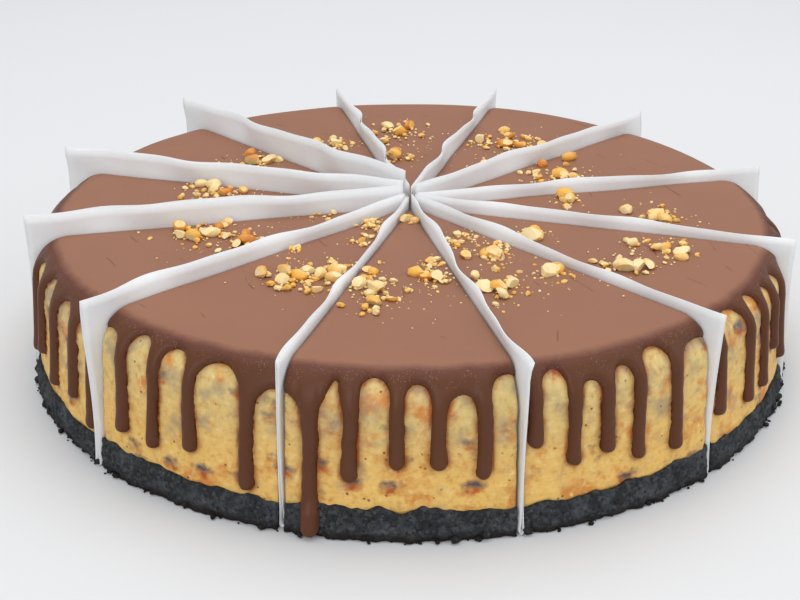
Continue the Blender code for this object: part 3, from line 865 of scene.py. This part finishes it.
# %% Pressed biscuit
def make_biscuit():
    material, tree, shader, place = new_material("pressed_cocoa_biscuit", Roughness=0.8, IOR=1.45)
    shader.inputs["Specular IOR Level"].default_value = 0.35
    crumb = add_node(
        tree, "TexNoise", {"Vector": place}, {"Scale": 1 / 1.1, "Detail": 6.0, "Roughness": 0.72}
    )
    patch = add_node(tree, "TexNoise", {"Vector": place}, {"Scale": 1 / 5.5, "Detail": 4.0})
    butter = add_node(tree, "MapRange", {"Value": patch.outputs["Fac"]}, {"From Min": 0.46, "From Max": 0.64})
    colour = add_node(
        tree, "Mix", {0: butter.outputs[0]}, {6: linear("#262A2D"), 7: linear("#404449")}, data_type="RGBA"
    )
    bits = add_node(tree, "TexVoronoi", {"Vector": place}, {"Scale": 1 / 0.9})
    each = add_node(tree, "SeparateColor", {0: bits.outputs["Color"]})
    bright = add_node(tree, "MapRange", {"Value": each.outputs["Red"]}, {"From Min": 0.55, "To Max": 0.30})
    # Painted shade: the crumb's low spots, the hollows of its bump, are painted near black.
    hollow_shade = add_node(tree, "MapRange", {"Value": crumb.outputs["Fac"]}, {"From Min": 0.50, "From Max": 0.36})
    grit = add_node(tree, "TexNoise", {"Vector": place}, {"Scale": 1 / 0.8, "Detail": 2.0})
    pale = add_node(
        tree, "MapRange", {"Value": grit.outputs["Fac"]}, {"From Min": 0.69, "From Max": 0.76, "To Max": 0.7}
    )
    height = add_node(tree, "SeparateXYZ", {0: place}).outputs["Z"]
    uneven = add_node(tree, "Math", {0: patch.outputs["Fac"], 2: height}, {1: -4.0}, operation="MULTIPLY_ADD")
    foot = add_node(tree, "MapRange", {"Value": uneven.outputs[0]}, {"From Min": 0.6, "From Max": -1.2})
    for mask, tint in ((bright, "#6E6F6C"), (hollow_shade, "#100E0E"), (pale, "#6B6455"), (foot, "#1C1310")):
        sources = {0: mask.outputs[0], 6: colour.outputs[2]}
        colour = add_node(tree, "Mix", sources, {7: linear(tint)}, data_type="RGBA")
    tree.links.new(colour.outputs[2], shader.inputs["Base Color"])
    relief = add_node(tree, "Bump", {"Height": crumb.outputs["Fac"]}, {"Distance": 0.6 * MM, "Strength": 0.9})
    tree.links.new(relief.outputs[0], shader.inputs["Normal"])
    return material


biscuit = make_biscuit()
print("made", biscuit.name, "with", len(biscuit.node_tree.nodes), "nodes")

# %% [markdown]
# ## The base's shape
# The ring pressed the face fairly smooth. The top line is ragged, by about a millimetre, and the
# foot crumbled away in places. All of that is relief on the same kind of block.

# %% Shape the bases
BASE_COLUMNS = 120
BASE_SIDE_ROWS = 17
BASE_ROWS_START = 0.35
BASE_ROW = 0.45
BASE_TOP_ROWS = (BASE_TOP_RADIUS - 0.3, BASE_TOP_RADIUS - 1.2, 112.0, 80.0, TIP_RADIUS)
base_loop = [(r, 0.0) for r in (TIP_RADIUS, 60.0, 100.0, 112.0, 115.0, 116.6)]
for i in range(BASE_SIDE_ROWS):
    side_height = BASE_ROWS_START + BASE_ROW * i
    base_loop.append((BASE_RADIUS + (BASE_TOP_RADIUS - BASE_RADIUS) * side_height / BASE_HEIGHT, side_height))
base_loop += [(r, BASE_HEIGHT) for r in BASE_TOP_ROWS]
base_radius, base_height = np.array(base_loop).T


def shape_base(centre):
    def shape(share, row):
        radius, height = base_radius[row], base_height[row]
        rise = base_top(share, radius, centre) - BASE_HEIGHT
        height = height + rise * np.clip(height / BASE_HEIGHT, 0, 1)
        place = roll_up(share, radius, height, centre)
        rough = 0.5 * grains(place, 1.5) + 0.5 * grains(place + 50, 3.2)
        foot = np.clip((3.0 - height) / 3.0, 0, 1)
        rough -= foot * (0.6 + 1.3 * grains(place + 90, 4.5) + 0.6 * grains(place + 130, 2.2))
        edge = np.exp(-(radius * (1 - np.abs(share)) * HALF_ANGLE) / 0.6)
        radius = radius + np.where((radius > 116) & (height > 0.05), rough - 0.4 * edge, 0)
        top_line = 1.8 * grains(place * (1, 1, 0.2) + 20, 7.0) + 0.9 * grains(place * (1, 1, 0.2) + 70, 2.6)
        ragged = top_line * np.clip((height - 5.5) / 2, 0, 1) * (radius > 114)
        return roll_up(share, np.minimum(radius, BASE_RADIUS + 0.5), height + ragged, centre)

    return shape


for index in range(PORTIONS):
    piece = finish_piece(
        f"pressed_base_{index:02d}", grid_block(len(base_loop), BASE_COLUMNS, shape_base(index * 30)), biscuit
    )
    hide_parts(f"base_{index:02d}")
print("a base has", len(piece.data.polygons), "faces")

# %% [markdown]
# ## The papers
# Each divider is one strip of thin waxed paper, folded in half and pushed fold first into the cut.
# Its two leaves part towards their free edges, one is often shorter than the other, and above the
# cake they wave to and fro. A grid makes the strip, row by row from one leaf's free edge down round
# the fold and up the other, and Solidify gives it its thickness.

# %% The paper's finish
def make_paper():
    material, tree, shader, place = new_material("waxed_paper", Roughness=0.6, IOR=1.5, Alpha=0.96)
    shader.inputs["Specular IOR Level"].default_value = 0.3
    fibre = add_node(tree, "TexNoise", {"Vector": place}, {"Scale": 1 / 2.2, "Detail": 6.0})
    colour = add_node(
        tree, "Mix", {0: fibre.outputs["Fac"]}, {6: linear("#E7E8E9"), 7: linear("#EFF0F0")}, data_type="RGBA"
    )
    tree.links.new(colour.outputs[2], shader.inputs["Base Color"])
    relief = add_node(
        tree, "Bump", {"Height": fibre.outputs["Fac"]}, {"Distance": 0.05 * MM, "Strength": 0.35}
    )
    tree.links.new(relief.outputs[0], shader.inputs["Normal"])
    return material


paper = make_paper()
print("made", paper.name)

# %% The papers' outer end, height there and height at the middle
PAPER_START = 2.3
PAPER_SHEET = 0.14
PAPERS = (
    (119.0, 48.9, 49.6),
    (116.6, 51.0, 52.0),
    (116.8, 50.0, 51.4),
    (116.4, 50.4, 51.6),
    (118.6, 53.6, 56.0),
    (119.2, 52.6, 53.0),
    (117.0, 52.6, 52.2),
    (118.4, 50.4, 49.6),
    (116.4, 47.8, 49.0),
    (118.0, 49.2, 49.8),
    (117.0, 47.6, 49.6),
    (117.4, 47.8, 49.8),
)
print("papers stand", round(min(p[1] for p in PAPERS) - COAT_TOP, 1), "mm or more above the coat")

# %% [markdown]
# A leaf is free only above the coat and past the side, so its wave and its lean grow there and
# almost vanish inside the cut.

# %% Fold the papers
PAPER_COLUMNS = 72
LEAF_ROWS = 20
FOLD_ROWS = 6
FOLD_HEIGHT = 1.3
LEAF_GAP = 0.20
LOOP_SWELL = 0.5


def free_share(reach, height):
    """0 inside the cut, and more where the paper stands clear of the cake."""
    above = (height - COAT_TOP + 0.5) / 5
    outside = (reach - FILLING_RADIUS - 1.0) / 14
    return min(1.0, max(0.0, above, outside))


def fold_paper(index):
    """One strip, folded over, as a bmesh in mm standing along +X."""
    end, end_height, middle_height = PAPERS[index]
    draw = random.Random(40 + index)
    short = draw.uniform(0.1, 0.7)
    phase = [draw.uniform(0, math.tau) for _ in range(6)]
    rows = 2 * LEAF_ROWS + FOLD_ROWS
    bm = bmesh.new()
    bmesh.ops.create_grid(bm, x_segments=PAPER_COLUMNS, y_segments=rows, size=1)
    for vert in bm.verts:
        along = (vert.co.x + 1) / 2
        row = round((vert.co.y + 1) / 2 * rows)
        side = -1 if row < rows / 2 else 1
        top = middle_height + (end_height - middle_height) * along - (short if side > 0 else 0)
        top += 0.35 * math.sin(8 * along + phase[4])
        leaf = max(0.0, 1 - min(row, rows - row) / LEAF_ROWS)
        height = FOLD_HEIGHT + (top - FOLD_HEIGHT) * leaf
        if leaf == 0:
            turn = (row - LEAF_ROWS) / FOLD_ROWS * math.pi
            height = FOLD_HEIGHT - 0.9 * math.sin(turn)
            side = -math.cos(turn)
        reach = end + (0.5 * math.sin(0.09 * height + phase[3]) - 0.3 * (side > 0)) * along
        reach = PAPER_START + (reach - PAPER_START) * along
        free = free_share(reach, height)
        wave = math.sin(18 * along + phase[0]) + 0.5 * math.sin(33 * along + phase[1])
        wave += 0.4 * math.sin(7 * along)
        sway = wave * (0.05 + 0.85 * free) * min(1.0, 5 * along)
        apart = LEAF_GAP + 0.04 * math.sin(6 * along + phase[2])
        apart += 0.03 * math.sin(0.2 * height + phase[5])
        gap = side * apart
        gap += side * LOOP_SWELL * math.exp(-max(0.0, height - FOLD_HEIGHT) / 5)
        vert.co = (reach, gap + sway, height)
    bmesh.ops.rotate(bm, matrix=Matrix.Rotation(math.radians(index * 30 + 15), 3, "Z"), verts=bm.verts)
    bmesh.ops.recalc_face_normals(bm, faces=bm.faces)
    bmesh.ops.solidify(bm, geom=bm.faces[:], thickness=PAPER_SHEET)
    bmesh.ops.recalc_face_normals(bm, faces=bm.faces)
    return bm


for index in range(PORTIONS):
    piece = finish_piece(f"folded_paper_{index:02d}", fold_paper(index), paper)
    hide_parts(f"paper_{index:02d}")
print("a paper has", len(piece.data.polygons), "faces")

# %% [markdown]
# ## The nuts' finish
# Roasted peanuts break into pieces with two kinds of surface. The rounded outside is golden to
# orange-brown from the oven, and a fresh break is cream. Each face stores which one it is, from 0
# for a pale break to 1 for the darkest roast, and noise varies the colour within a piece.

# %% Roasted peanut
def make_nut():
    material, tree, shader, place = new_material("roasted_peanut", Roughness=0.45, IOR=1.47)
    shader.inputs["Subsurface Weight"].default_value = 0.15
    shader.inputs["Subsurface Radius"].default_value = (1.0, 0.6, 0.3)
    shader.inputs["Subsurface Scale"].default_value = 1.0 * MM
    roast = add_node(tree, "Attribute", attribute_name="roast")
    patch = add_node(tree, "TexNoise", {"Vector": place}, {"Scale": 1 / 2.2, "Detail": 3.0})
    sources = {0: patch.outputs["Fac"], 2: roast.outputs["Fac"]}
    uneven = add_node(tree, "Math", sources, {1: 0.7}, operation="MULTIPLY_ADD")
    golden = add_node(tree, "MapRange", {"Value": uneven.outputs[0]}, {"From Min": 0.35, "From Max": 0.80})
    colour = add_node(
        tree, "Mix", {0: golden.outputs[0]}, {6: linear("#EEDAA4"), 7: linear("#EAB04A")}, data_type="RGBA"
    )
    darker = add_node(tree, "MapRange", {"Value": uneven.outputs[0]}, {"From Min": 0.95, "From Max": 1.30})
    colour = add_node(
        tree, "Mix", {0: darker.outputs[0], 6: colour.outputs[2]}, {7: linear("#CF7C28")}, data_type="RGBA"
    )
    tree.links.new(colour.outputs[2], shader.inputs["Base Color"])
    grain = add_node(tree, "TexNoise", {"Vector": place}, {"Scale": 1 / 0.9, "Detail": 4.0})
    relief = add_node(
        tree, "Bump", {"Height": grain.outputs["Fac"]}, {"Distance": 0.15 * MM, "Strength": 0.6}
    )
    tree.links.new(relief.outputs[0], shader.inputs["Normal"])
    return material


nut = make_nut()
print("made", nut.name)

# %% [markdown]
# ## Where the nuts fell
# The large pieces lie where the CAD model has them, by the same rule: each handful scatters round
# its middle, from its largest piece down, and stays clear of the cuts.

# %% Handfuls, as angle, radius, count and how far they spread
NUT_HANDFULS = (
    (-90.0, 13.5, 1, 0.1),
    (-97.0, 66.0, 9, 7.0),
    (-82.0, 57.0, 3, 4.0),
    (-117.0, 64.0, 7, 7.0),
    (-110.0, 56.0, 3, 5.0),
    (-155.0, 64.0, 7, 7.0),
    (-145.0, 57.0, 3, 4.0),
    (-68.5, 68.0, 5, 6.0),
    (-53.0, 66.0, 3, 4.0),
    (-59.0, 48.0, 4, 4.0),
    (-24.5, 81.0, 5, 5.0),
    (-38.5, 77.0, 3, 5.0),
    (-36.0, 45.0, 2, 4.0),
    (-6.0, 76.0, 4, 5.0),
    (5.0, 50.0, 2, 3.0),
    (29.0, 56.0, 7, 7.0),
    (61.0, 66.0, 8, 8.0),
    (56.0, 44.0, 2, 3.0),
    (94.0, 70.0, 5, 7.0),
    (98.0, 44.0, 3, 4.0),
    (116.0, 62.0, 4, 4.0),
    (128.0, 50.0, 2, 5.0),
    (146.0, 64.0, 5, 6.0),
    (157.0, 48.0, 4, 5.0),
    (172.0, 63.0, 6, 6.0),
    (184.0, 50.0, 2, 5.0),
)
LARGEST_NUT = 6.0
SMALLEST_NUT = 3.0
HUB_NUT = 4.4
NUT_TAPER = 0.7
NUT_VARIETY = (0.85, 1.1)
NUT_FROM_CUT = 0.62
LARGEST_HANDFUL = 9
NUT_SEED = 11


def nut_places(centre):
    """(x, y, size, draw) of each large nut of a portion, as the CAD model places them."""
    places = []
    for order, (angle, radius, count, reach) in enumerate(NUT_HANDFULS):
        if abs((angle - centre + 180) % 360 - 180) > 15:
            continue
        draw = random.Random(NUT_SEED + order)
        for i in range(count):
            size = LARGEST_NUT - (LARGEST_NUT - SMALLEST_NUT) * (i / (LARGEST_HANDFUL - 1)) ** NUT_TAPER
            size *= draw.uniform(*NUT_VARIETY)
            if count == 1:
                size = HUB_NUT
            along = radius + draw.gauss(0, reach) * (i > 0)
            off = math.radians((angle - centre + 180) % 360 - 180)
            across = radius * math.sin(off) + draw.gauss(0, reach) * (i > 0)
            room = along * math.tan(HALF_ANGLE) - size * NUT_FROM_CUT - HALF_KERF / math.cos(HALF_ANGLE)
            across = max(-room, min(room, across))
            turn = math.radians(centre)
            x = along * math.cos(turn) - across * math.sin(turn)
            y = along * math.sin(turn) + across * math.cos(turn)
            places.append((x, y, size, draw.randrange(10**6)))
    places.sort(key=lambda place: -place[2])
    return places


print("large pieces:", sum(len(nut_places(i * 30)) for i in range(PORTIONS)))

# %% [markdown]
# ## Chopping
# A chopped piece starts as a low icosphere for the round outside, and two to four random planes
# slice bits off. bisect_plane cuts and clears, and filling the open edge makes the flat break, which
# is stored as pale.

# %% Chop one piece
def add_chip(bm, place, size, seed, detail, roast):
    """Adds one chopped piece to bm, resting on the coat at place."""
    draw = random.Random(seed)
    chip = bmesh.new()
    layer = chip.faces.layers.float.new("roast")
    bmesh.ops.create_icosphere(chip, subdivisions=detail, radius=0.5)
    for vert in chip.verts:
        vert.co *= draw.uniform(0.92, 1.10)
    for face in chip.faces:
        face[layer] = roast
    for _ in range(draw.randint(2, 4)):
        plane = Vector([draw.gauss(0, 1) for _ in range(3)]).normalized()
        bmesh.ops.bisect_plane(
            chip,
            geom=[*chip.verts, *chip.edges, *chip.faces],
            plane_co=plane * draw.uniform(0.20, 0.40),
            plane_no=plane,
            clear_outer=True,
        )
        broken = bmesh.ops.holes_fill(chip, edges=[e for e in chip.edges if e.is_boundary], sides=0)["faces"]
        for face in broken:
            face[layer] = roast * draw.uniform(0.0, 0.5)
    stretch = Vector((1.12, draw.uniform(0.7, 0.95), draw.uniform(0.55, 0.8))) * size
    bmesh.ops.scale(chip, vec=stretch, verts=chip.verts)
    turn = Matrix.Rotation(draw.uniform(0, math.tau), 3, "Z") @ Matrix.Rotation(draw.gauss(0, 0.35), 3, "X")
    bmesh.ops.rotate(chip, matrix=turn, verts=chip.verts)
    sunk = COAT_TOP - 0.12 * size - min(v.co.z for v in chip.verts)
    bmesh.ops.translate(chip, vec=(place[0], place[1], sunk), verts=chip.verts)
    bmesh.ops.recalc_face_normals(chip, faces=chip.faces)
    mesh = bpy.data.meshes.new("chip")
    chip.to_mesh(mesh)
    chip.free()
    bm.from_mesh(mesh)
    bpy.data.meshes.remove(mesh)


def chopped_piece(name, chips, detail):
    """Joins many chips in one piece. chips holds (place, size, seed, roast)."""
    bm = bmesh.new()
    bm.faces.layers.float.new("roast")
    for place, size, seed, roast in chips:
        add_chip(bm, place, size, seed, detail, roast)
    piece = finish_piece(name, bm, nut)
    piece.data.set_sharp_from_angle(angle=math.radians(38))
    print(name, "chips:", len(chips), "faces:", len(piece.data.polygons))
    return piece


# %% [markdown]
# The piece nearest the middle is a small pile of bits, one behind two, with the smallest in front.

# %% The large pieces
HUB_PILE = ((-1.7, 0.1, 3.4), (0.6, -1.4, 3.5), (0.7, 1.5, 3.2), (2.7, 0.3, 1.9))
chunks = []
draw = random.Random(77)
for index in range(PORTIONS):
    for x, y, size, seed in nut_places(index * 30):
        roast = draw.choice((0.1, 0.3, 0.5, 0.6, 0.9))
        if size == HUB_NUT:
            for bit, (outward, aside, bit_size) in enumerate(HUB_PILE):
                chunks.append(((x + aside, y - outward), bit_size, seed + bit, 0.4))
        else:
            chunks.append(((x, y), size * 0.95, seed, roast))
chopped_piece("chopped_peanuts", chunks, 2)

# %% [markdown]
# ## Crumbs and dust
# Round each handful lie many more crumbs, and round those a fine dust that spreads farther. A few
# handfuls nearer the middle are crumbs alone. All are too small for more than a few faces each.

# %% Scatter crumbs and dust
CRUMB_HANDFULS = (
    (-120.0, 21.0, 3, 2.2),
    (-131.0, 49.0, 2, 1.2),
    (-67.5, 34.0, 3, 2.5),
    (-57.0, 31.0, 2, 3.0),
    (-81.5, 45.5, 2, 2.0),
    (-115.0, 34.0, 2, 2.5),
    (-161.0, 29.0, 2, 3.5),
    (-52.0, 43.0, 2, 3.0),
)


def scatter(share, sizes, wider, darkest, seed):
    """Chips round every handful, clear of the cuts and on the flat of the coat."""
    draw = random.Random(seed)
    chips = []
    for angle, radius, count, reach in NUT_HANDFULS + CRUMB_HANDFULS:
        for _ in range(count * share if count > 1 else 3):
            along = radius + draw.gauss(0, reach * wider)
            across = draw.gauss(0, reach * wider)
            turn = math.radians(angle)
            x = along * math.cos(turn) - across * math.sin(turn)
            y = along * math.sin(turn) + across * math.cos(turn)
            size = sizes[0] + (sizes[1] - sizes[0]) * draw.random() ** 2
            from_cut = (math.degrees(math.atan2(y, x)) + 15) % 30
            clear = math.hypot(x, y) * math.radians(min(from_cut, 30 - from_cut)) - size / 2
            if clear > HALF_KERF + 0.1 and math.hypot(x, y) < SHOULDER_RADIUS:
                chips.append(((x, y), size, draw.randrange(10**6), draw.uniform(0.0, darkest)))
    return chips


chopped_piece("peanut_crumbs", scatter(7, (1.0, 2.8), 0.85, 0.7, 78), 1)
chopped_piece("peanut_dust", scatter(10, (0.4, 0.9), 1.3, 0.4, 79), 1)

# %% [markdown]
# ## Crumbs at the foot
# Bits of biscuit cling to the foot of the base or lie beside it. Each is a small icosphere whose
# corners are moved in or out at random. Most rest on the table. Of those that touch the base, about
# a third cling to it up to 1.4 mm higher.

# %% Foot crumbs
FOOT_CRUMBS = 240
SMALLEST_FOOT_CRUMB = 0.7
FOOT_CRUMB_RANGE = 2.6


def add_foot_crumb(bm, angle, radius, size, draw):
    """One crumb, on the table or a little way up the base's foot."""
    made = bmesh.ops.create_icosphere(bm, subdivisions=1, radius=0.5)["verts"]
    for vert in made:
        vert.co *= draw.uniform(0.7, 1.15)
    bmesh.ops.scale(bm, vec=Vector((1, draw.uniform(0.6, 1), draw.uniform(0.5, 0.9))) * size, verts=made)
    bmesh.ops.rotate(bm, matrix=Matrix.Rotation(draw.uniform(0, math.tau), 3, "Z"), verts=made)
    lowest_point = min(v.co.z for v in made)
    lift = draw.choice((0.0, 0.0, draw.uniform(0.3, 1.4))) if radius < BASE_RADIUS - 0.2 else 0.0
    spot = (radius * math.cos(angle), radius * math.sin(angle), lift - lowest_point)
    bmesh.ops.translate(bm, vec=spot, verts=made)


crumb_mesh = bmesh.new()
draw = random.Random(91)
for _ in range(FOOT_CRUMBS):
    angle = draw.uniform(0, math.tau)
    radius = BASE_RADIUS - 0.9 + abs(draw.gauss(0, 0.6))
    size = SMALLEST_FOOT_CRUMB + FOOT_CRUMB_RANGE * draw.random() ** 3
    add_foot_crumb(crumb_mesh, angle, min(radius, BASE_RADIUS + 2.5), size, draw)
foot_crumbs = finish_piece("biscuit_crumbs", crumb_mesh, biscuit)
print("foot crumbs:", FOOT_CRUMBS, "faces:", len(foot_crumbs.data.polygons))

# %% [markdown]
# ## The table
# A plain pale card under and behind the cake, a little darker than white, so that soft light on it
# reads as the light grey of the photograph.

# %% Lay the table
def make_table():
    bm = bmesh.new()
    bmesh.ops.create_grid(bm, x_segments=1, y_segments=1, size=4)
    mesh = bpy.data.meshes.new("table")
    bm.to_mesh(mesh)
    bm.free()
    table = bpy.data.objects.new("table", mesh)
    bpy.context.scene.collection.objects.link(table)
    material, tree, shader, place = new_material("matt_white_card", Roughness=0.85)
    tone = add_node(tree, "TexNoise", {"Vector": place}, {"Scale": 1 / 300.0, "Detail": 2.0})
    colour = add_node(
        tree, "Mix", {0: tone.outputs["Fac"]}, {6: linear("#D6D7D8"), 7: linear("#D9DADB")}, data_type="RGBA"
    )
    tree.links.new(colour.outputs[2], shader.inputs["Base Color"])
    mesh.materials.append(material)
    return table


print("laid", make_table().name)

# %% [markdown]
# ## Light
# Soft light from all round, as in a light tent, with one large lamp above and a little behind, and
# two weaker ones in front and at the side that keep the drips from going flat.

# %% Hang the lamps
def add_lamp(name, place, size, power):
    """A square soft lamp that faces the cake."""
    lamp = bpy.data.objects.new(name, bpy.data.lights.new(name, "AREA"))
    lamp.data.size = size
    lamp.data.energy = power
    lamp.location = place
    lamp.rotation_euler = (Vector((0, 0, 0.02)) - Vector(place)).to_track_quat("-Z", "Y").to_euler()
    bpy.context.scene.collection.objects.link(lamp)


add_lamp("overhead", (0.0, 0.25, 1.1), 1.2, 8.0)
add_lamp("front", (-0.30, -1.1, 0.75), 0.9, 5.5)
add_lamp("side", (1.0, -0.3, 0.6), 0.8, 2.6)
world = bpy.data.worlds.new("room")
world.use_nodes = True
world.node_tree.nodes["Background"].inputs["Color"].default_value = linear("#F4F6FA")
world.node_tree.nodes["Background"].inputs["Strength"].default_value = 0.63
bpy.context.scene.world = world
bpy.context.scene.view_settings.view_transform = "Standard"
print("lamps:", len(bpy.data.lights))
